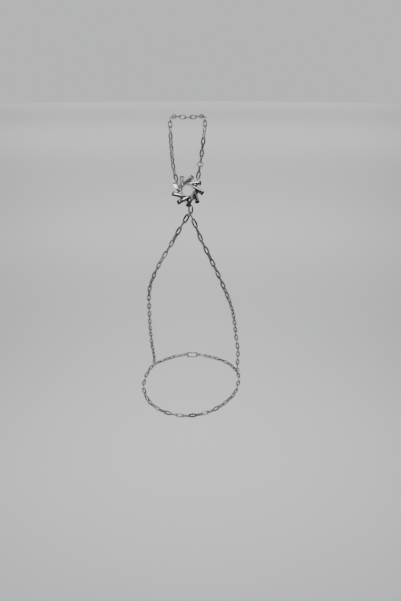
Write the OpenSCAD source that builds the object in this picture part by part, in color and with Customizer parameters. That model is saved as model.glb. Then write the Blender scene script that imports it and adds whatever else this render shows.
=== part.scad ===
// Hand chain bracelet: a finger loop, a pinwheel of bars, two diagonal chains and a wrist chain.
// Millimetres, in the form that it has when worn: the finger loop is at the top, the ornament faces -Y.
// The origin is the middle of the finger loop.

/* [Wrist chain] */
// Outer length of a link
link_l = 5; // [4.7:0.1:5.5]
// Outer width of a link
link_w = 2.6; // [2.4:0.1:2.8]
// Diameter of its wire
wire_d = 0.6; // [0.5:0.02:0.62]

/* [Finger chain] */
// Outer length of a finger link
finger_link_l = 3.9; // [3.6:0.1:4.2]
// Outer width of a finger link
finger_link_w = 2.1; // [1.9:0.1:2.4]
// Diameter of its wire
finger_wire_d = 0.5; // [0.4:0.02:0.5]
// Outer diameter of the round ring that joins the chain
finger_ring_d = 3; // [2.9:0.1:3.3]

/* [Finger loop] */
// Half width of the loop, from side to side
loop_half_w = 7.9; // [7:0.1:9.5]
// Half depth of the loop, from front to back
loop_half_d = 8.2; // [7:0.1:9.5]

/* [Pinwheel] */
// Radius to the outer ends of the bars
tip_r = 7.4; // [7:0.1:8.2]
// Number of bars
bars = 9; // [7:1:11]
// Bearing of the first bar's outer end
first_bar = 30; // [20:1:36]
// How far each bar leans from the radius
lean = 25; // [20:1:30]
// Length of a bar
bar_l = 6.9; // [6.4:0.1:7.2]
// Width of a bar at its outer end
bar_w = 2.4; // [2.1:0.1:2.6]
// Width of a bar at its inner end
bar_inner_w = 1.4; // [1.2:0.1:1.7]
// Height of a bar
bar_h = 1.5; // [1.2:0.1:2]
// How far the pinwheel's top leans back
pinwheel_tilt = 27; // [15:1:35]

/* [Rings and clasp] */
// Diameter of the wire of the round rings
ring_wire_d = 0.54; // [0.46:0.02:0.56]
// Outer length of the link below the pinwheel
top_link_l = 4.4; // [4.2:0.1:5]
// Outer diameter of the ring at the head of the diagonals
junction_d = 3.1; // [3:0.1:3.3]
// Outer diameter of the rings at the sides
side_ring_d = 3.1; // [2.9:0.1:3.6]
// Outer diameter of the ring that the clasp holds
clasp_ring_d = 3.3; // [3.1:0.1:4]
// Outer length of the clasp's loop
clasp_l = 8; // [7:0.5:10]
// Outer width of the clasp's loop
clasp_w = 4.4; // [4:0.2:5]

/* [Hidden] */
$fn = 24;

// Clear space between two pieces that hang in each other
gap = 0.13;
// Points of a route between two rows of its table
span_steps = 12;

// Eyes behind the pinwheel: place in its own plane, bearing of the chain that leaves it, length of its post
// x, y, bearing, post
EYE_LEFT = [-5.0, 4.7, 106, 2.4];
EYE_RIGHT = [4.7, 5.7, 77, 3];
EYE_BELOW = [1.4, -6.4, 272, 1.6];
eye_wire_d = 0.44;
eye_r = 0.7;
eye_z = -0.55;

pinwheel_centre = [-0.1, -12.5, -29.1];
plate_inner_r = 3.8;
plate_outer_r = 4.9;
plate_back = -0.75;
plate_front = 0.35;
bar_pitch = 4;
bar_roll = 9;
bar_waist = 0.6;
bar_foot = 0.7;
bar_flat = 0.5;
bar_taper = atan((bar_w - bar_inner_w) / 2 / bar_l);
// The outer end of a bar is cut back at this angle, and has a cup in the middle of the cut
end_cut = 36;
cup_r = 0.72;
cup_depth = 0.42;
cup_height = 0.84;

// Route of the finger chain, from the eye at the left round the finger and down to the ring
// x, y, z, bearing that the flat links face
FINGER_ROUTE = [
    [-6.6, -7.8, -20.0, -122],
    [-7.3, -6.0, -14.0, -134],
    [-7.7, -4.9, -8.0, -138],
    [-7.9, -3.6, -3.0, -148],
    [-loop_half_w, -1.1, 0.1, -172],
    [-loop_half_w * 0.93, 2.5, 1.4, -204],
    [-loop_half_w * 0.6, loop_half_d * 0.8, 1.2, -236],
    [0, loop_half_d, 0.6, -270],
    [loop_half_w * 0.6, loop_half_d * 0.8, 1.2, -304],
    [loop_half_w * 0.93, 2.5, 1.6, -336],
    [loop_half_w, -1.1, 0.4, -368],
    [7.9, -3.6, -2.5, -402],
    [7.2, -4.8, -7.6, -426],
    [6.5, -5.7, -13.0, -436],
];
// Bearing that the ring at the end of the route faces, and how far it is from the eye at the right
ring_bearing = -441;
ring_drop = 6.4;
ring_up = [0.1755, 0.341, 0.923];

// Left diagonal, from the junction ring to the ring at the left
// x, y, z, bearing that the flat links face
LEFT_ROUTE = [
    [-4.4, -17.0, -46.8, -104],
    [-8.1, -16.8, -53.4, -113],
    [-11.9, -15.9, -60.0, -119],
    [-15.2, -14.5, -66.2, -125],
    [-17.9, -12.6, -72.4, -134],
    [-20.1, -10.2, -78.4, -146],
    [-21.5, -7.6, -85.0, -158],
    [-22.2, -4.8, -92.5, -168],
    [-22.8, -1.2, -101.0, -178],
    [-23.5, 3.4, -111.0, -188],
    [-24.0, 8.4, -121.0, -197],
    [-24.2, 12.8, -131.5, -204],
];

// Right diagonal, from the junction ring to the ring at the right
// x, y, z, bearing that the flat links face
RIGHT_ROUTE = [
    [3.4, -16.1, -44.2, -80],
    [6.0, -17.2, -50.9, -70],
    [9.2, -17.4, -57.6, -65],
    [12.3, -17.1, -64.5, -62],
    [15.2, -16.4, -71.1, -58],
    [17.8, -15.1, -77.8, -52],
    [20.2, -13.2, -84.4, -44],
    [22.3, -10.5, -91.4, -32],
    [24.0, -6.9, -99.0, -20],
    [25.2, -3.0, -106.7, -10],
    [26.2, 0.2, -114.0, -2],
    [27.2, 2.4, -121.5, 4],
    [28.5, 3.9, -129.5, 7],
];

// Wrist chain, from the clasp round the left side, the front and the right side to the clasp
// bearing, radius, z
WRIST_ROUTE = [
    [-240, 28.4, -149.4],
    [-210, 29.0, -148.6],
    [-180, 29.1, -149.8],
    [-160, 29.4, -150.6],
    [-140, 29.8, -151.0],
    [-120, 29.6, -151.2],
    [-100, 29.0, -151.2],
    [-80, 28.4, -151.0],
    [-60, 27.9, -150.4],
    [-40, 28.0, -149.4],
    [-20, 28.6, -148.4],
    [8, 29.3, -147.4],
    [35, 29.2, -148.6],
    [60, 28.6, -149.4],
];
// Where the diagonals' rings hang on the wrist chain
left_bearing = -210;
right_bearing = 8;
// Centre of the wrist chain
wrist_centre = [0.3, 0, 0];
clasp_gap = 10;
clasp_back = 28.5;
clasp_z = -149.6;
clasp_wire_d = 1.1;
clasp_eye_r = 0.88;
clasp_eye_wire_d = 0.6;
// Extra room in the clasp's eye for the bend of the link that it holds
clasp_slack = 0.06;

function unit(v) = v / norm(v);
function place(p) = [p.x, p.y, p.z];
function outward(bearing) = [cos(bearing), sin(bearing), 0];

// Catmull-Rom curve between b and c
function curve_point(a, b, c, d, t) =
    0.5 * (2 * b + (c - a) * t + (2 * a - 5 * b + 4 * c - d) * t * t + (3 * b - a - 3 * c + d) * t * t * t);
function curve(rows) = let (
        n = len(rows),
        padded = concat([2 * rows[0] - rows[1]], rows, [2 * rows[n - 1] - rows[n - 2]])
    ) concat(
        [for (i = [0:n - 2], k = [0:span_steps - 1])
            curve_point(padded[i], padded[i + 1], padded[i + 2], padded[i + 3], k / span_steps)],
        [rows[n - 1]]
    );

// A route is a fine list of x, y, z, facing and the distance run so far
function run_so_far(p) = [for (i = 0, s = 0; i < len(p); i = i + 1,
        s = s + (i < len(p) ? norm(place(p[i]) - place(p[i - 1])) : 0)) s];
function route(rows) = let (p = curve(rows), s = run_so_far(p))
    [for (i = [0:len(p) - 1]) concat(p[i], [s[i]])];
function route_length(r) = r[len(r) - 1][4];
function on_route(r, s) = [for (k = [0:3]) lookup(s, [for (row = r) [row[4], row[k]]])];

// Fewest links that keep the gap, even or odd as their two ends need
function link_count(r, pitch, odd) = let (n = ceil(route_length(r) / pitch)) n + (n % 2 == odd ? 0 : 1);
function link_pitch(l, d) = l - 2 * d - gap;
function joint(r, n, i) = on_route(r, i * route_length(r) / n);
function link_centre(r, n, i) = (place(joint(r, n, i)) + place(joint(r, n, i + 1))) / 2;
function link_axis(r, n, i) = unit(place(joint(r, n, i + 1)) - place(joint(r, n, i)));
function link_facing(r, n, i) = outward((joint(r, n, i)[3] + joint(r, n, i + 1)[3]) / 2);

// Columns: along, across and out of the flat side
function frame_of(centre, along, out) = let (
        across = unit(cross(out, along)),
        flat = cross(along, across)
    ) [
        [along.x, across.x, flat.x, centre.x],
        [along.y, across.y, flat.y, centre.y],
        [along.z, across.z, flat.z, centre.z],
        [0, 0, 0, 1]
    ];

// Distance from the meeting point of two wires to the middle of either one
function reach(d) = (d + gap) / 2;

// From the pinwheel's own plane into the part's frame
pinwheel_up = [0, sin(pinwheel_tilt), cos(pinwheel_tilt)];
pinwheel_out = [0, -cos(pinwheel_tilt), sin(pinwheel_tilt)];
function from_pinwheel(p) = pinwheel_centre + [p.x, 0, 0] + pinwheel_up * p.y + pinwheel_out * p.z;
function eye_joint(eye) = from_pinwheel(
    [eye.x, eye.y, eye_z] + (eye_r - reach(eye_wire_d)) * [cos(eye[2]), sin(eye[2]), 0]);

// The ring between the finger chain and its tail, and the places where they take hold
finger_ring_r = (finger_ring_d - ring_wire_d) / 2;
finger_ring_centre = eye_joint(EYE_RIGHT) + ring_drop * unit(ring_up);
function finger_ring_joint(side) =
    concat(finger_ring_centre + side * (finger_ring_r - reach(ring_wire_d)) * unit(ring_up), [ring_bearing]);
finger_route = route(concat(
    [concat(eye_joint(EYE_LEFT), [-96])], FINGER_ROUTE, [finger_ring_joint(1)]));
finger_count = link_count(finger_route, link_pitch(finger_link_l, finger_wire_d), 0);
tail_route = route([finger_ring_joint(-1), concat(eye_joint(EYE_RIGHT), [-448])]);
tail_count = link_count(tail_route, link_pitch(finger_link_l, finger_wire_d), 0);

// The link below the pinwheel, and the ring that it holds
top_start = eye_joint(EYE_BELOW);
top_down = unit([0, -0.4, -1]);
top_centre = top_start + top_down * link_pitch(top_link_l, ring_wire_d) / 2;
junction_r = (junction_d - ring_wire_d) / 2;
junction_drop = [0.57, 0.45, 2.1];
junction_centre = top_centre - junction_drop;
junction_bearing = 55;
junction_lean = 27;
// Where the first links of the diagonals take hold, from the centre of the ring
left_start = junction_centre + [-0.65, -0.27, -0.47];
right_start = junction_centre + [0.2, 1.48, 0.19];

// Wrist chain: rows become points, with the clasp's gap left open at the back
wrist_rows = concat(
    [[wrist_centre.x - clasp_gap / 2, clasp_back, clasp_z, -260]],
    [for (w = WRIST_ROUTE) concat(wrist_centre + w[1] * outward(w[0]) + [0, 0, w[2]], [w[0]])],
    [[wrist_centre.x + clasp_gap / 2, clasp_back, clasp_z, 80]]
);
wrist_route = route(wrist_rows);
wrist_count = link_count(wrist_route, link_pitch(link_l, wire_d), 0);
// Face-on link nearest to a bearing
function miss(i, bearing) = abs((joint(wrist_route, wrist_count, i)[3]
    + joint(wrist_route, wrist_count, i + 1)[3]) / 2 - bearing);
function nearest_flat(bearing) = let (
        all = [for (i = [0:2:wrist_count - 1]) miss(i, bearing)],
        best = min(all)
    ) [for (i = [0:len(all) - 1]) if (all[i] == best) 2 * i][0];
left_link = nearest_flat(left_bearing);
right_link = nearest_flat(right_bearing);

// The side rings stand on the upper wire of those links
side_r = (side_ring_d - ring_wire_d) / 2;
side_lift = link_w / 2 - wire_d + side_r - ring_wire_d / 2 - gap;
function side_centre(i) = link_centre(wrist_route, wrist_count, i) + [0, 0, side_lift];
function side_joint(i) = side_centre(i) + [0, 0, side_r - reach(ring_wire_d)];
// Last two rows of a diagonal, straight down to its side ring
function side_end(i, bearing) = [for (above = [link_l, 0]) concat(side_joint(i) + [0, 0, above], [bearing])];

left_route = route(concat(
    [concat(left_start, [-90])], LEFT_ROUTE, side_end(left_link, left_bearing)));
left_count = link_count(left_route, link_pitch(link_l, wire_d), 1);
right_route = route(concat(
    [concat(right_start, [-90])], RIGHT_ROUTE, side_end(right_link, right_bearing)));
right_count = link_count(right_route, link_pitch(link_l, wire_d), 0);

// Round ring of wire in the XY plane
module wire_ring(r, d) {
    rotate_extrude() translate([r, 0]) circle(d = d);
}

// Oval link of round wire, along X and flat in the XY plane
module oval_link(l, w, d) {
    bend_r = (w - d) / 2;
    straight = l - w;
    for (end = [-1, 1]) {
        translate([end * straight / 2, 0, 0]) rotate(-90 * end)
            rotate_extrude(angle = 180) translate([bend_r, 0]) circle(d = d);
        translate([-straight / 2, end * bend_r, 0]) rotate([0, 90, 0]) cylinder(d = d, h = straight);
    }
}

// Links first to last of a chain of count links, each turned a quarter from the one before it
module chain(r, count, first, last, l, w, d, turn = 0) {
    for (i = [first:last])
        multmatrix(frame_of(link_centre(r, count, i), link_axis(r, count, i), link_facing(r, count, i)))
            rotate([turn + 90 * (i % 2), 0, 0]) oval_link(l, w, d);
}

// One side of a bar: its section, stretched far past the middle and turned in towards the inner end
module bar_side() {
    rotate([90, 0, -90 - bar_taper]) linear_extrude(bar_l) polygon([
        [-bar_w, 0], [bar_foot, 0], [bar_w / 2, bar_waist], [bar_flat, bar_h], [-bar_w, bar_h]
    ]);
}

// One bevelled bar along X, its outer end at the origin, cupped and cut back
module bar() {
    difference() {
        intersection() {
            bar_side();
            mirror([0, 1, 0]) bar_side();
        }
        rotate([0, -end_cut, 0]) {
            translate([0, -bar_w, 0]) cube([bar_w, 2 * bar_w, 2 * bar_h]);
            translate([cup_r - cup_depth, 0, cup_height / cos(end_cut)]) sphere(r = cup_r);
        }
    }
}

// Small eye of wire on a post, standing edge-on behind the bars
module eye(e) {
    translate([e.x, e.y, eye_z]) rotate(e[2]) {
        rotate([90, 0, 0]) wire_ring(eye_r, eye_wire_d);
        translate([-eye_r - e[3], 0, 0]) rotate([0, 90, 0]) cylinder(d = eye_wire_d, h = e[3]);
    }
}

module pinwheel() {
    color("gainsboro") translate(pinwheel_centre) rotate([90 - pinwheel_tilt, 0, 0]) {
        for (i = [0:bars - 1])
            rotate(first_bar + i * 360 / bars) translate([tip_r, 0, 0])
                rotate(-lean) rotate([bar_roll, bar_pitch, 0]) bar();
        difference() {
            translate([0, 0, plate_back]) cylinder(r = plate_outer_r, h = plate_front - plate_back);
            translate([0, 0, plate_back - 1]) cylinder(r = plate_inner_r, h = plate_front - plate_back + 2);
        }
        eye(EYE_LEFT);
        eye(EYE_RIGHT);
        eye(EYE_BELOW);
    }
}

module finger_chain() {
    color("silver")
        chain(finger_route, finger_count, 0, finger_count - 1, finger_link_l, finger_link_w, finger_wire_d);
}

module finger_ring() {
    color("silver") multmatrix(frame_of(finger_ring_centre, unit(ring_up), outward(ring_bearing)))
        wire_ring(finger_ring_r, ring_wire_d);
}

module finger_tail() {
    color("silver")
        chain(tail_route, tail_count, 0, tail_count - 1, finger_link_l, finger_link_w, finger_wire_d, 90);
}

module top_link() {
    color("silver")
        multmatrix(frame_of(top_centre, top_down, outward(-90))) oval_link(top_link_l, link_w, ring_wire_d);
}

module junction_ring() {
    color("silver") translate(junction_centre) rotate([0, 0, junction_bearing]) rotate([90 + junction_lean, 0, 0])
        wire_ring(junction_r, ring_wire_d);
}

module left_chain() {
    color("silver") chain(left_route, left_count, 0, left_count - 1, link_l, link_w, wire_d);
}

module right_chain() {
    color("silver") chain(right_route, right_count, 0, right_count - 1, link_l, link_w, wire_d, 90);
}

// A ring that stands across the wrist chain
module side_ring(i) {
    along = link_axis(wrist_route, wrist_count, i);
    color("silver") multmatrix(frame_of(side_centre(i), along, link_facing(wrist_route, wrist_count, i)))
        rotate([0, 90, 0]) wire_ring(side_r, ring_wire_d);
}

module side_ring_left() {
    side_ring(left_link);
}

module side_ring_right() {
    side_ring(right_link);
}

module wrist_run(first, last) {
    color("silver") chain(wrist_route, wrist_count, first, last, link_l, link_w, wire_d);
}

module bracelet_back_left() {
    wrist_run(0, left_link);
}

module bracelet_front() {
    wrist_run(left_link + 1, right_link - 1);
}

module bracelet_back_right() {
    wrist_run(right_link, wrist_count - 1);
}

// From the middle of the clasp's gap, with X towards the left end of the chain
module at_clasp() {
    translate([wrist_centre.x, clasp_back, clasp_z]) rotate([90, 0, 180]) children();
}

module clasp_ring() {
    ring_r = (clasp_ring_d - ring_wire_d) / 2;
    color("silver") at_clasp() translate([clasp_gap / 2 + reach(ring_wire_d) - ring_r, 0, 0])
        rotate([90, 0, 0]) wire_ring(ring_r, ring_wire_d);
}

module clasp() {
    ring_r = (clasp_ring_d - ring_wire_d) / 2;
    hook_end = clasp_gap / 2 + reach(ring_wire_d) - 2 * ring_r + ring_wire_d / 2 + gap + clasp_wire_d;
    color("silver") at_clasp() {
        translate([hook_end - clasp_l / 2, 0, 0]) oval_link(clasp_l, clasp_w, clasp_wire_d);
        translate([-clasp_gap / 2 - reach(clasp_eye_wire_d) - clasp_slack + clasp_eye_r, 0, 0])
            wire_ring(clasp_eye_r, clasp_eye_wire_d);
    }
}

pinwheel();
finger_chain();
finger_ring();
finger_tail();
top_link();
junction_ring();
left_chain();
right_chain();
side_ring_left();
side_ring_right();
bracelet_front();
bracelet_back_left();
bracelet_back_right();
clasp_ring();
clasp();
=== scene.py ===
import math
import random

import bmesh
import bpy
import numpy as np
from mathutils import Matrix, Vector


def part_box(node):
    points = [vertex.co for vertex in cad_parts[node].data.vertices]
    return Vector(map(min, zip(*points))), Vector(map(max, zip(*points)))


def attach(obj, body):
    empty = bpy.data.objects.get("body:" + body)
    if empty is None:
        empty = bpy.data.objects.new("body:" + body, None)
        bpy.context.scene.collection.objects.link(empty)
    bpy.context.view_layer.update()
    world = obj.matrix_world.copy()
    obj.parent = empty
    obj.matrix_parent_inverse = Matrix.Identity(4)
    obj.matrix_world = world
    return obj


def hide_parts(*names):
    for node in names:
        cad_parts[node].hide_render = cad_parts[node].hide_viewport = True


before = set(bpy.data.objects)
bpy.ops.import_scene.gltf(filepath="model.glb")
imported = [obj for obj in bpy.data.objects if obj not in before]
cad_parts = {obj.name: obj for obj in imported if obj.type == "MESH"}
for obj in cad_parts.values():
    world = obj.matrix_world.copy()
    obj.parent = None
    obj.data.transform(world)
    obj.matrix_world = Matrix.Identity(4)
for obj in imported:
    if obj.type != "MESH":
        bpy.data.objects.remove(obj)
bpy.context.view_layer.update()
mm = 0.001
print("frame loaded:", len(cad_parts), "nodes")


# Colours are sRGB hex, as a colour picker gives them; shader sockets take linear values
def toLinear(hexColour):
    parts = [int(hexColour[i:i + 2], 16) / 255 for i in (1, 3, 5)]
    return [c / 12.92 if c <= 0.04045 else ((c + 0.055) / 1.055) ** 2.4 for c in parts] + [1.0]


# One node with its settings, its socket values and the sockets that feed it
def addNode(tree, kind, settings=None, values=None, links=None):
    node = tree.nodes.new(kind)
    for name, value in (settings or {}).items():
        setattr(node, name, value)
    for name, value in (values or {}).items():
        node.inputs[name].default_value = value
    for name, socket in (links or {}).items():
        tree.links.new(socket, node.inputs[name])
    return node


# The mesh of a finished build
def meshOf(build, name):
    mesh = bpy.data.meshes.new(name)
    build.to_mesh(mesh)
    build.free()
    return mesh


# Camera: the height and the downward look of the photograph
view = {"place": (0.0059, -0.2211, 0.0242), "downDegrees": 28, "lens": 26.96, "sensor": 36, "nearest": 0.01}

cameraData = bpy.data.cameras.new("camera")
cameraData.lens = view["lens"]
cameraData.sensor_width = view["sensor"]
cameraData.clip_start = view["nearest"]
cameraObject = bpy.data.objects.new("camera", cameraData)
cameraObject.location = view["place"]
cameraObject.rotation_euler = (math.radians(90 - view["downDegrees"]), 0, 0)
bpy.context.scene.collection.objects.link(cameraObject)
bpy.context.scene.camera = cameraObject
print("camera set")


# Pale floor, well below the jewel, which hangs as it does when worn
floor = {"height": -0.6, "radius": 8.5, "sides": 96, "colour": "#DCDDDD", "roughness": 0.85}

# Even and pale, so that the metal reads against it
floorMaterial = bpy.data.materials.new("pale matt floor")
floorMaterial.use_nodes = True
floorShader = floorMaterial.node_tree.nodes["Principled BSDF"]
floorShader.inputs["Base Color"].default_value = toLinear(floor["colour"])
floorShader.inputs["Roughness"].default_value = floor["roughness"]

disc = bmesh.new()
bmesh.ops.create_circle(disc, cap_ends=True, segments=floor["sides"], radius=floor["radius"])
bmesh.ops.translate(disc, vec=(0, 0, floor["height"]), verts=disc.verts[:])
floorMesh = meshOf(disc, "floor")
floorMesh.materials.append(floorMaterial)
floorObject = bpy.data.objects.new("floor", floorMesh)
bpy.context.scene.collection.objects.link(floorObject)
print("floor laid")


# Soft studio light: a row of boxes lights the floor behind the jewel and leaves it dark in front,
# where polished wire mirrors it; the other boxes give the metal its highlights
studio = {
    "lamps": [
        # name, place, aimed at, size, size across, spread in degrees, watts, colour
        ("left box", (-0.58, -0.17, -0.13), (0, -0.01, -0.05), 0.16, 0.16, 60, 0.06, "#FFF0DA"),
        ("top box", (-0.05, -0.33, 0.5), (0, -0.01, -0.05), 0.3, 0.2, 60, 0.07, "#FFFFFF"),
        ("small box left", (-0.33, -0.35, 0.34), (0, -0.01, -0.07), 0.07, 0.07, 60, 0.06, "#FFF8EE"),
        ("small box right", (0.39, -0.37, 0.25), (0, -0.01, -0.07), 0.07, 0.07, 60, 0.06, "#F2F5FF"),
        ("rose box", (0.17, -0.4, 0.42), (0, -0.01, -0.03), 0.17, 0.17, 60, 0.0065, "#F6E4E6"),
        ("front box left", (-0.112, -0.354, -0.084), (0, -0.03, -0.15), 0.07, 0.07, 60, 0.0045, "#FFFFFF"),
        ("front box right", (0.194, -0.313, -0.072), (0, -0.03, -0.15), 0.07, 0.07, 60, 0.0045, "#FFFFFF"),
        ("tall box right", (0.48, 0.35, 0.2), (0, -0.01, -0.05), 0.2, 0.62, 100, 0.16, "#FFF6F2"),
        ("floor box 1", (0, 0.3, 0.5), (0, 0.3, -0.6), 1.2, 0.3, 80, 3.0, "#FFFFFF"),
        ("floor box 2", (0, 1.2, 1.4), (0, 1.2, -0.6), 2, 1, 60, 5.9, "#FFFFFF"),
        ("floor box 3", (0, 2, 1.8), (0, 2, -0.6), 3, 1.2, 60, 7.2, "#FFFFFF"),
        ("floor box 4", (0, 3, 2.4), (0, 3, -0.6), 4, 2, 60, 12.2, "#FFFFFF"),
        ("floor box 5", (0, 4.5, 3), (0, 4.5, -0.6), 6, 2.5, 60, 45, "#FFFFFF"),
        ("floor box 6", (0, 8, 4), (0, 8, -0.6), 9, 4, 60, 117, "#FFFFFF"),
    ],
    "roomGrey": "#A8A9AC",
    "roomDark": "#0E0E10",
    "greyUpTo": 0.42,
    "darkFrom": 0.8,
    "onFloor": 0.15,
    "backdrop": "#D0D1D2",
}

for name, place, aim, size, across, spread, watts, colour in studio["lamps"]:
    lampData = bpy.data.lights.new(name, "AREA")
    lampData.shape = "RECTANGLE"
    lampData.size = size
    lampData.size_y = across
    lampData.spread = math.radians(spread)
    lampData.energy = watts
    lampData.color = toLinear(colour)[:3]
    lamp = bpy.data.objects.new(name, lampData)
    lamp.location = place
    lamp.rotation_euler = (Vector(aim) - Vector(place)).to_track_quat("-Z", "Y").to_euler()
    bpy.context.scene.collection.objects.link(lamp)

# The room is grey with a dark side in front, towards -Y, so that polished faces that look there go black
room = bpy.data.worlds.new("room")
room.use_nodes = True
bpy.context.scene.world = room
roomTree = room.node_tree
roomTree.nodes.clear()
heading = addNode(roomTree, "ShaderNodeTexCoord").outputs["Generated"]
towardsFront = addNode(roomTree, "ShaderNodeVectorMath", {"operation": "DOT_PRODUCT"}, {1: (0, -1, 0)},
                       {0: heading})
walls = addNode(roomTree, "ShaderNodeValToRGB", links={"Fac": towardsFront.outputs["Value"]})
walls.color_ramp.elements[0].position = studio["greyUpTo"]
walls.color_ramp.elements[0].color = toLinear(studio["roomGrey"])
walls.color_ramp.elements[1].position = studio["darkFrom"]
walls.color_ramp.elements[1].color = toLinear(studio["roomDark"])
seen = addNode(roomTree, "ShaderNodeLightPath")
strength = addNode(roomTree, "ShaderNodeMapRange", values={"To Min": studio["onFloor"], "To Max": 1.0},
                   links={"Value": seen.outputs["Is Glossy Ray"]})  # little of it falls on the floor
roomLight = addNode(roomTree, "ShaderNodeBackground", links={
    "Color": walls.outputs["Color"], "Strength": strength.outputs["Result"]})
plainBack = addNode(roomTree, "ShaderNodeBackground", values={"Color": toLinear(studio["backdrop"])})
mixed = addNode(roomTree, "ShaderNodeMixShader", links={
    0: seen.outputs["Is Camera Ray"],
    1: roomLight.outputs["Background"],
    2: plainBack.outputs["Background"]})
addNode(roomTree, "ShaderNodeOutputWorld", links={"Surface": mixed.outputs["Shader"]})
print("light set")


# How the patterns of every metal are drawn: where tone and haze pass from one end to the other, how
# detailed they are, how far the polishing lines are drawn out, and how deep the marks are
pattern = {"toneFrom": 0.35, "toneTo": 0.65, "toneDetail": 3.0, "hazeFrom": 0.3, "hazeTo": 0.7,
           "hazeDetail": 4.0, "markDetail": 2.0, "lineStretch": 0.08, "markDeepMm": 0.01}


# Silver-toned metal: its tone drifts, polishing leaves fine marks, handling leaves faint haze. Real marks
# are a few hundredths of a millimetre apart and are drawn coarser, so that they show
def makeMetal(name, look):
    material = bpy.data.materials.new(name)
    material.use_nodes = True
    tree = material.node_tree
    tree.nodes.clear()
    where = addNode(tree, "ShaderNodeTexCoord").outputs["Object"]
    drift = addNode(tree, "ShaderNodeTexNoise", links={"Vector": where}, values={
        "Scale": 1 / (look["driftMm"] * mm), "Detail": pattern["toneDetail"]})
    tone = addNode(tree, "ShaderNodeValToRGB", links={"Fac": drift.outputs["Fac"]})
    tone.color_ramp.elements[0].position = pattern["toneFrom"]
    tone.color_ramp.elements[0].color = toLinear(look["dark"])
    tone.color_ramp.elements[1].position = pattern["toneTo"]
    tone.color_ramp.elements[1].color = toLinear(look["light"])
    haze = addNode(tree, "ShaderNodeTexNoise", links={"Vector": where}, values={
        "Scale": 1 / (look["hazeMm"] * mm), "Detail": pattern["hazeDetail"]})
    roughness = addNode(tree, "ShaderNodeMapRange", links={"Value": haze.outputs["Fac"]}, values={
        "From Min": pattern["hazeFrom"], "From Max": pattern["hazeTo"],
        "To Min": look["smoothest"], "To Max": look["roughest"]})
    if look["grainMap"]:  # lines along the piece, from its own map in millimetres
        along = addNode(tree, "ShaderNodeUVMap", {"uv_map": look["grainMap"]}).outputs["UV"]
        markPlace = addNode(tree, "ShaderNodeMapping", links={"Vector": along}, values={
            "Scale": (pattern["lineStretch"], 1, 1)}).outputs["Vector"]
        markScale = 1 / look["markMm"]
    else:
        markPlace = where
        markScale = 1 / (look["markMm"] * mm)
    marks = addNode(tree, "ShaderNodeTexNoise", links={"Vector": markPlace}, values={
        "Scale": markScale, "Detail": pattern["markDetail"]})
    relief = addNode(tree, "ShaderNodeBump", links={"Height": marks.outputs["Fac"]}, values={
        "Strength": look["markStrength"], "Distance": pattern["markDeepMm"] * mm})
    shader = addNode(tree, "ShaderNodeBsdfPrincipled", values={"Metallic": 1.0}, links={
        "Base Color": tone.outputs["Color"], "Roughness": roughness.outputs["Result"],
        "Normal": relief.outputs["Normal"]})
    addNode(tree, "ShaderNodeOutputMaterial", links={"Surface": shader.outputs["BSDF"]})
    return material


# Rhodium plate over hand-polished bars: near mirror, with lengthwise lines that soften the reflections
platedBars = makeMetal("rhodium plate, polished bars", {
    "light": "#D9D9DA", "dark": "#C3C3C4", "driftMm": 2.5, "hazeMm": 0.8, "smoothest": 0.05,
    "roughest": 0.14, "markMm": 0.12, "markStrength": 0.35, "grainMap": "grain"})
# Rhodium plate on the ring and solder behind, left from the polishing drum: softer shine, small dimples
platedBack = makeMetal("rhodium plate, drum polished", {
    "light": "#B9B9BA", "dark": "#9D9D9E", "driftMm": 1.8, "hazeMm": 0.5, "smoothest": 0.16,
    "roughest": 0.32, "markMm": 0.18, "markStrength": 0.6, "grainMap": ""})
# Inside the cups the plate is unpolished and its dark colour is painted shade, so that each bar ends in a
# dark hollow
cupsPaintedShade = makeMetal("rhodium plate, cups with painted shade", {
    "light": "#5E5F66", "dark": "#37383F", "driftMm": 0.7, "hazeMm": 0.4, "smoothest": 0.25,
    "roughest": 0.45, "markMm": 0.12, "markStrength": 0.6, "grainMap": ""})
# Drawn wire links, drum polished: bright, with a slight ripple that breaks up the highlights
drawnWire = makeMetal("drawn wire, drum polished", {
    "light": "#A9AAAE", "dark": "#919296", "driftMm": 3.0, "hazeMm": 0.7, "smoothest": 0.06,
    "roughest": 0.18, "markMm": 0.22, "markStrength": 0.4, "grainMap": ""})
# Cast clasp, tumbled: wider highlights than the wire
castClasp = makeMetal("cast clasp, tumbled", {
    "light": "#BBBCBE", "dark": "#A2A3A6", "driftMm": 2.2, "hazeMm": 0.6, "smoothest": 0.12,
    "roughest": 0.26, "markMm": 0.3, "markStrength": 0.6, "grainMap": ""})
print("metals mixed")


# A finished piece: its mesh becomes an object that rides with the jewel and stands for the CAD nodes
def finishPiece(name, build, materials, nodes, smoothDegrees):
    bmesh.ops.recalc_face_normals(build, faces=build.faces[:])
    mesh = meshOf(build, name)
    for material in materials:
        mesh.materials.append(material)
    mesh.shade_smooth()
    mesh.set_sharp_from_angle(angle=math.radians(smoothDegrees))
    piece = bpy.data.objects.new(name, mesh)
    bpy.context.scene.collection.objects.link(piece)
    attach(piece, "root")
    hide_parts(*nodes)
    print(name, "made:", len(mesh.polygons), "faces")


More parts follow.
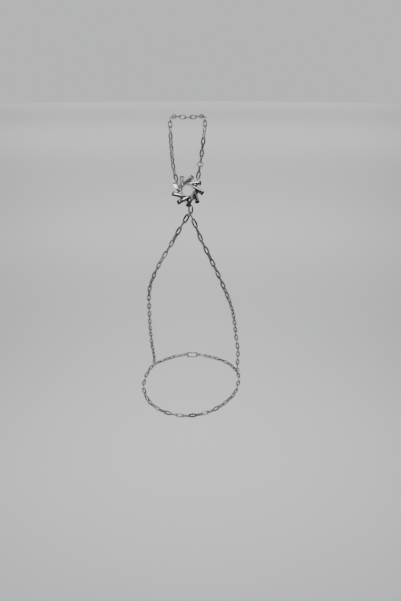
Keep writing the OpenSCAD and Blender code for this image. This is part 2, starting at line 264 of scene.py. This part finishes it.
# Where each link or ring of a node lies: its middle, its long way, its width and its flat side
def linkPlaces(nodeName):
    weld = 1e-7  # metres; it joins the node's loose triangles
    build = bmesh.new()
    build.from_mesh(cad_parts[nodeName].data)
    bmesh.ops.remove_doubles(build, verts=build.verts[:], dist=weld)
    left = set(build.verts)
    places = []
    while left:
        waiting = [left.pop()]
        faces = set()
        while waiting:
            corner = waiting.pop()
            faces.update(corner.link_faces)
            for edge in corner.link_edges:
                other = edge.other_vert(corner)
                if other in left:
                    left.remove(other)
                    waiting.append(other)
        areas = np.array([face.calc_area() for face in faces])
        middles = np.array([face.calc_center_median() for face in faces])
        centre = areas @ middles / areas.sum()
        spread = (middles - centre).T @ ((middles - centre) * areas[:, None])
        axes = np.linalg.eigh(spread)[1]  # from the flat side to the long way
        long, flat = Vector(axes[:, 2]), Vector(axes[:, 0])
        if long.z < 0:
            long.negate()
        if flat.dot(Vector(centre)) < 0:
            flat.negate()
        turned = Matrix((long, flat.cross(long), flat)).transposed().to_4x4()
        places.append(Matrix.Translation(centre) @ turned)
    build.free()
    return sorted(places, key=lambda place: (round(place.translation.z, 5), round(place.translation.x, 5)))


# Oval link in millimetres, flat in XY: four arcs spun from one circle of wire, and a solder seam on a side.
# Towards the middle its sides swell inwards and grow thicker, and both faces are pressed flat
def makeLink(size):
    wireR = size["wire"] / 2
    weld = size["wire"] / 200
    halfWide = size["width"] / 2 - wireR
    endR = size["endShare"] * halfWide
    endX = size["length"] / 2 - wireR - endR
    sideR = (endX ** 2 + halfWide ** 2 - endR ** 2) / 2 / (halfWide - endR)
    sideTurn = math.atan2(endX, sideR - halfWide)
    endTurn = math.pi / 2 - sideTurn
    start = (Matrix.Translation((endX, 0, 0)) @ Matrix.Rotation(-endTurn, 4, "Z")
             @ Matrix.Translation((endR, 0, 0)) @ Matrix.Rotation(math.pi / 2, 4, "X"))
    link = bmesh.new()
    made = bmesh.ops.create_circle(link, segments=size["sides"], radius=wireR, matrix=start)
    ring = made["verts"] + link.edges[:]
    arcs = [
        # centre, half of its turn, steps
        ((endX, 0, 0), endTurn, size["endSteps"]),
        ((0, halfWide - sideR, 0), sideTurn, size["sideSteps"]),
        ((-endX, 0, 0), endTurn, size["endSteps"]),
        ((0, sideR - halfWide, 0), sideTurn, size["sideSteps"]),
    ]
    for centre, halfTurn, steps in arcs:
        spun = bmesh.ops.spin(link, geom=ring, cent=centre, axis=(0, 0, 1), dvec=(0, 0, 0),
                              angle=2 * halfTurn, steps=steps, use_merge=False, use_duplicate=False)
        ring = spun["geom_last"]
    bmesh.ops.remove_doubles(link, verts=link.verts[:], dist=weld)
    seam = [vert for vert in link.verts if abs(vert.co.x) < 2 * weld and vert.co.y > 0]
    bmesh.ops.scale(link, vec=(1, size["seamShare"], size["seamShare"]),
                    space=Matrix.Translation((0, -halfWide, 0)), verts=seam)
    for vert in link.verts:
        share = max(0, 1 - (vert.co.x / endX / size["heavyShare"]) ** 2)
        within = halfWide - abs(vert.co.y)
        if within > 0:
            vert.co.y -= math.copysign(min(within, wireR) * size["bulge"] * share, vert.co.y)
        vert.co.z *= 1 + size["thicker"] * share
        vert.co.z = math.copysign(min(abs(vert.co.z), size["flat"] / 2), vert.co.z)
    bmesh.ops.recalc_face_normals(link, faces=link.faces[:])
    bmesh.ops.scale(link, vec=(mm, mm, mm), verts=link.verts[:])
    return meshOf(link, "link")


# Round jump ring in millimetres, cut once and closed, so that a fine seam shows; the seam is on +X
def makeJumpRing(size):
    wireR = size["wire"] / 2
    ringR = size["outer"] / 2 - wireR
    seamTurn = size["seamGap"] / ringR
    start = (Matrix.Rotation(seamTurn / 2, 4, "Z") @ Matrix.Translation((ringR, 0, 0))
             @ Matrix.Rotation(math.pi / 2, 4, "X"))
    loop = bmesh.new()
    made = bmesh.ops.create_circle(loop, segments=size["sides"], radius=wireR, matrix=start)
    spun = bmesh.ops.spin(loop, geom=made["verts"] + loop.edges[:], cent=(0, 0, 0), axis=(0, 0, 1),
                          dvec=(0, 0, 0), angle=2 * math.pi - seamTurn, steps=size["steps"],
                          use_merge=False, use_duplicate=False)
    # both ends of the wire are closed
    lastVerts = [item for item in spun["geom_last"] if isinstance(item, bmesh.types.BMVert)]
    for end in (made["verts"], lastVerts):
        bmesh.ops.contextual_create(loop, geom=end)
    bmesh.ops.recalc_face_normals(loop, faces=loop.faces[:])
    bmesh.ops.scale(loop, vec=(mm, mm, mm), verts=loop.verts[:])
    return meshOf(loop, "jump ring")


# Copies of one mesh, set at each place
def layAt(mesh, places):
    build = bmesh.new()
    for place in places:
        already = len(build.verts)
        build.from_mesh(mesh)
        build.verts.ensure_lookup_table()
        bmesh.ops.transform(build, matrix=place, verts=build.verts[already:])
    return build


# From 0 at the start to 1 at the end, and level outside them
def rise(value, start, end):
    return min(1, max(0, (value - start) / (end - start)))


# Links, in millimetres. The ends of an oval link are rounder than an ellipse's, so that the next link lies
# in them
wristLink = {
    "length": 5.0, "width": 2.4, "wire": 0.6, "flat": 0.62, "bulge": 0.9, "thicker": 0.6, "heavyShare": 1.2,
    "endShare": 0.86, "seamShare": 1.04, "sides": 20, "endSteps": 9, "sideSteps": 8,
}
fingerLink = dict(wristLink, length=3.9, width=2.1, wire=0.5, flat=0.52, endShare=0.88)
topLink = dict(wristLink, length=4.4, wire=0.54)
chains = [
    # name, CAD node, its link
    ("fingerChain", "finger_chain", fingerLink),
    ("fingerTail", "finger_tail", fingerLink),
    ("topLink", "top_link", topLink),
    ("leftChain", "left_chain", wristLink),
    ("rightChain", "right_chain", wristLink),
    ("braceletFront", "bracelet_front", wristLink),
    ("braceletBackLeft", "bracelet_back_left", wristLink),
    ("braceletBackRight", "bracelet_back_right", wristLink),
]
linkSmoothDegrees = 28

# Rings, in millimetres
jumpRing = {"wire": 0.54, "seamGap": 0.05, "sides": 16, "steps": 40, "smoothDegrees": 50}
rings = [
    # name, CAD node, outer diameter
    ("fingerRing", "finger_ring", 3.0),
    ("junctionRing", "junction_ring", 3.1),
    ("sideRingLeft", "side_ring_left", 3.1),
    ("sideRingRight", "side_ring_right", 3.1),
    ("claspRing", "clasp_ring", 3.3),
]

# Each link lies a little turned about its long way, as loose links do. High up the diagonals turn away from
# each other, and in front the wrist chain's links tip up. A link beside a ring or the clasp, or where the
# finger chain bends over, has less room, so it isn't turned and its sides are as slim as its ends
play = {
    "seed": 11,
    "looseDegrees": 10,
    "outwardDegrees": {"left_chain": -18, "right_chain": 20},
    "outwardUp": (-70, -44),  # heights where that turn begins and where it is full
    "tipUpDegrees": 22,
    "tipForward": (-2, 16),  # how far in front the links begin to tip, and tip most
    "tightReach": 2.2,  # a link this near the middle of a ring or of the clasp's eye has less room
    "bendAbove": -6,  # and so has one above this height
}
claspLow, claspHigh = [Vector(corner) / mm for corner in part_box("clasp")]
claspEye = Vector((claspHigh.x, (claspLow.y + claspHigh.y) / 2, (claspLow.z + claspHigh.z) / 2))
tightSpots = [linkPlaces(node)[0].translation / mm for name, node, outer in rings] + [claspEye]
dice = random.Random(play["seed"])
for name, node, size in chains:
    heavy, slim = [], []
    for place in linkPlaces(node):
        x, y, z = place.translation / mm
        turn = dice.uniform(-1, 1) * play["looseDegrees"]
        turn += play["outwardDegrees"].get(node, 0) * rise(z, *play["outwardUp"])
        if node == "bracelet_front":
            roundTheWrist = place.col[0].xyz.dot(Vector((-y, x, 0)))
            turn -= math.copysign(play["tipUpDegrees"], roundTheWrist) * rise(-y, *play["tipForward"])
        nearest = min((spot - Vector((x, y, z))).length for spot in tightSpots)
        if nearest < play["tightReach"] or z > play["bendAbove"]:
            slim.append(place)
        else:
            heavy.append(place @ Matrix.Rotation(math.radians(turn), 4, "X"))
    build = layAt(makeLink(size), heavy)
    build.from_mesh(meshOf(layAt(makeLink(dict(size, bulge=0, thicker=0)), slim), "slim links"))
    finishPiece(name, build, [drawnWire], [node], linkSmoothDegrees)

for name, node, outer in rings:
    build = layAt(makeJumpRing(dict(jumpRing, outer=outer)), linkPlaces(node))
    finishPiece(name, build, [drawnWire], [node], jumpRing["smoothDegrees"])

# The clasp keeps its CAD solid and takes its own metal
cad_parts["clasp"].data.materials.clear()
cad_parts["clasp"].data.materials.append(castClasp)
print("clasp finished")


# The pinwheel, in millimetres and degrees: nine tapered bars with bevelled flanks and cupped ends, soldered
# to a ring
pinwheel = {
    "centre": (-0.1, -12.5, -29.1), "tilt": 27, "smoothDegrees": 35,
    # Bars
    "bars": 9, "tipR": 7.4, "firstBar": 30, "lean": 25, "pitch": 4, "roll": 9, "length": 6.9, "wide": 2.4,
    "innerWide": 1.4, "high": 1.5, "foot": 0.7, "waist": 0.6, "flat": 0.5, "narrowest": 0.02,
    # Their ends, cups and broken edges
    "endCut": 36, "cupR": 0.72, "cupDepth": 0.42, "cupHeight": 0.84, "cupSides": (28, 18), "edge": 0.09,
    "sharpDegrees": 25,
    # Ring behind them: inner and outer radius, back and front
    "ring": (3.8, 4.9, -0.75, 0.35), "ringEdge": 0.12, "ringSteps": 72,
    # Solder: distances from a bar's outer end, half sizes, how far it is sunk
    "solderAlong": (3.3, 4.5), "solderSize": (0.75, 0.95, 0.28), "solderSunk": 0.02,
    # Eyes: x, y, bearing of the chain, length of the post
    "eyes": [(-5.0, 4.7, 106, 2.4), (4.7, 5.7, 77, 3), (1.4, -6.4, 272, 1.6)],
    "eyeR": 0.7, "eyeWire": 0.44, "eyeZ": -0.55, "eyeSides": 16, "eyeSteps": 32, "filletR": 0.3,
    "filletOut": 0.05,
    # Places of the back's metal and of the cups' metal with painted shade in the piece's list of metals
    "backMetal": 1, "paintedShadeCupMetal": 2,
}


# A bar along X with its outer end at the origin
def makeBar(size):
    weld = 1e-4
    onPlane = 1e-5  # a corner this near the cut counts as on it
    bar = bmesh.new()
    half = [(size["foot"], 0), (size["wide"] / 2, size["waist"]), (size["flat"], size["high"])]
    outline = half + [(-y, z) for y, z in reversed(half)]
    outer = bar.faces.new([bar.verts.new((0, y, z)) for y, z in outline])
    pulled = bmesh.ops.extrude_face_region(bar, geom=[outer])["geom"]
    inner = [item for item in pulled if isinstance(item, bmesh.types.BMVert)]
    bmesh.ops.translate(bar, vec=(-size["length"], 0, 0), verts=inner)
    narrower = (size["wide"] - size["innerWide"]) / 2
    for corner in inner:
        corner.co.y = math.copysign(max(abs(corner.co.y) - narrower, size["narrowest"]), corner.co.y)
    cut = math.radians(size["endCut"])
    bmesh.ops.bisect_plane(bar, geom=bar.verts[:] + bar.edges[:] + bar.faces[:], dist=onPlane,
                           plane_co=(0, 0, 0), plane_no=(math.cos(cut), 0, math.sin(cut)), clear_outer=True)
    bmesh.ops.remove_doubles(bar, verts=bar.verts[:], dist=weld)
    bmesh.ops.holes_fill(bar, edges=[edge for edge in bar.edges if edge.is_boundary], sides=0)
    bmesh.ops.recalc_face_normals(bar, faces=bar.faces[:])
    return meshOf(bar, "bar")


# The cup is cut with a ball, then every sharp edge of the bar is broken with a small bevel
def cupBar(mesh, size):
    cut = math.radians(size["endCut"])
    middle = (Matrix.Rotation(-cut, 4, "Y")
              @ Matrix.Translation((size["cupR"] - size["cupDepth"], 0, size["cupHeight"] / math.cos(cut))))
    around, along = size["cupSides"]
    ball = bmesh.new()
    bmesh.ops.create_uvsphere(ball, u_segments=around, v_segments=along, radius=size["cupR"],
                              matrix=middle @ Matrix.Rotation(math.pi / 2, 4, "Y"))
    barObject = bpy.data.objects.new("bar", mesh)
    ballObject = bpy.data.objects.new("ball", meshOf(ball, "ball"))
    for thing in (barObject, ballObject):
        bpy.context.scene.collection.objects.link(thing)
    cutter = barObject.modifiers.new("cup", "BOOLEAN")
    cutter.object = ballObject
    cutter.operation = "DIFFERENCE"
    cutter.solver = "EXACT"
    bpy.context.view_layer.update()
    done = barObject.evaluated_get(bpy.context.evaluated_depsgraph_get())
    bar = bmesh.new()
    bar.from_mesh(done.to_mesh())
    done.to_mesh_clear()
    for thing in (barObject, ballObject):
        bpy.data.objects.remove(thing)
    # faces inside the cup take the dark metal, painted shade in the hollow
    for face in bar.faces:
        if (face.calc_center_median() - middle.translation).length < size["cupR"]:
            face.material_index = size["paintedShadeCupMetal"]
    sharp = [edge for edge in bar.edges
             if edge.is_manifold and edge.calc_face_angle() > math.radians(size["sharpDegrees"])]
    bmesh.ops.bevel(bar, geom=sharp, offset=size["edge"], offset_type="OFFSET", segments=2, profile=0.5,
                    affect="EDGES", material=-1, clamp_overlap=True)
    grain = bar.loops.layers.uv.new("grain")
    for face in bar.faces:
        for corner in face.loops:
            corner[grain].uv = (corner.vert.co.x, corner.vert.co.y + corner.vert.co.z)  # millimetres
    return meshOf(bar, "cupped bar")


# The ring behind the bars, spun from its section, whose corners are rounded
def makeCarrier(size):
    innerR, outerR, back, front = size["ring"]
    carrier = bmesh.new()
    corners = ((innerR, back), (outerR, back), (outerR, front), (innerR, front))
    section = [carrier.verts.new((r, 0, z)) for r, z in corners]
    carrier.faces.new(section)
    bmesh.ops.bevel(carrier, geom=section, offset=size["ringEdge"], offset_type="OFFSET", segments=3,
                    profile=0.5, affect="VERTICES", material=-1)
    bmesh.ops.delete(carrier, geom=carrier.faces[:], context="FACES_ONLY")
    bmesh.ops.spin(carrier, geom=carrier.verts[:] + carrier.edges[:], cent=(0, 0, 0), axis=(0, 0, 1),
                   dvec=(0, 0, 0), angle=2 * math.pi, steps=size["ringSteps"], use_merge=True,
                   use_duplicate=False)
    return carrier


# A low pool of solder under a bar
def addSolder(carrier, spot, size):
    level = size["ring"][3] - size["solderSunk"]
    bmesh.ops.create_icosphere(carrier, subdivisions=3, radius=1, matrix=(
        Matrix.Translation((spot.translation.x, spot.translation.y, level))
        @ spot.to_3x3().to_4x4() @ Matrix.Diagonal((*size["solderSize"], 1))))


# An eye of wire on a post, with a fillet of solder where they meet
def makeEye(x, y, bearing, post, size):
    wireR = size["eyeWire"] / 2
    eye = bmesh.new()
    made = bmesh.ops.create_circle(eye, segments=size["eyeSides"], radius=wireR, matrix=(
        Matrix.Translation((size["eyeR"], 0, 0)) @ Matrix.Rotation(math.pi / 2, 4, "X")))
    bmesh.ops.spin(eye, geom=made["verts"] + eye.edges[:], cent=(0, 0, 0), axis=(0, 0, 1), dvec=(0, 0, 0),
                   angle=2 * math.pi, steps=size["eyeSteps"], use_merge=True, use_duplicate=False)
    bmesh.ops.rotate(eye, cent=(0, 0, 0), matrix=Matrix.Rotation(math.pi / 2, 3, "X"), verts=eye.verts[:])
    bmesh.ops.create_cone(eye, cap_ends=True, segments=size["eyeSides"], radius1=wireR, radius2=wireR,
                          depth=post, matrix=(Matrix.Translation((-size["eyeR"] - post / 2, 0, 0))
                                              @ Matrix.Rotation(math.pi / 2, 4, "Y")))
    bmesh.ops.create_icosphere(eye, subdivisions=3, radius=size["filletR"], matrix=Matrix.Translation(
        (-size["eyeR"] - size["filletOut"], 0, 0)))
    eyeFrame = Matrix.Translation((x, y, size["eyeZ"])) @ Matrix.Rotation(math.radians(bearing), 4, "Z")
    bmesh.ops.transform(eye, matrix=eyeFrame, verts=eye.verts[:])
    return meshOf(eye, "eye")


wheelFrame = (Matrix.Translation(pinwheel["centre"])
              @ Matrix.Rotation(math.radians(90 - pinwheel["tilt"]), 4, "X"))
barLean = Matrix.Rotation(-math.radians(pinwheel["lean"]), 4, "Z")
barTurn = (Matrix.Rotation(math.radians(pinwheel["pitch"]), 4, "Y")
           @ Matrix.Rotation(math.radians(pinwheel["roll"]), 4, "X"))
barPlaces = []
for i in range(pinwheel["bars"]):
    bearing = math.radians(pinwheel["firstBar"] + 360 / pinwheel["bars"] * i)
    tip = Matrix.Rotation(bearing, 4, "Z") @ Matrix.Translation((pinwheel["tipR"], 0, 0))
    barPlaces.append(tip @ barLean @ barTurn)
wheel = layAt(cupBar(makeBar(pinwheel), pinwheel), barPlaces)

carrier = makeCarrier(pinwheel)
for place in barPlaces:
    for along in pinwheel["solderAlong"]:
        addSolder(carrier, place @ Matrix.Translation((-along, 0, 0)), pinwheel)
for x, y, bearing, post in pinwheel["eyes"]:
    carrier.from_mesh(makeEye(x, y, bearing, post, pinwheel))
for face in carrier.faces:
    face.material_index = pinwheel["backMetal"]

wheel.from_mesh(meshOf(carrier, "carrier"))
bmesh.ops.transform(wheel, matrix=Matrix.Scale(mm, 4) @ wheelFrame, verts=wheel.verts[:])
# the third metal is the painted shade inside the cups
finishPiece("pinwheelBars", wheel, [platedBars, platedBack, cupsPaintedShade], ["pinwheel"],
            pinwheel["smoothDegrees"])
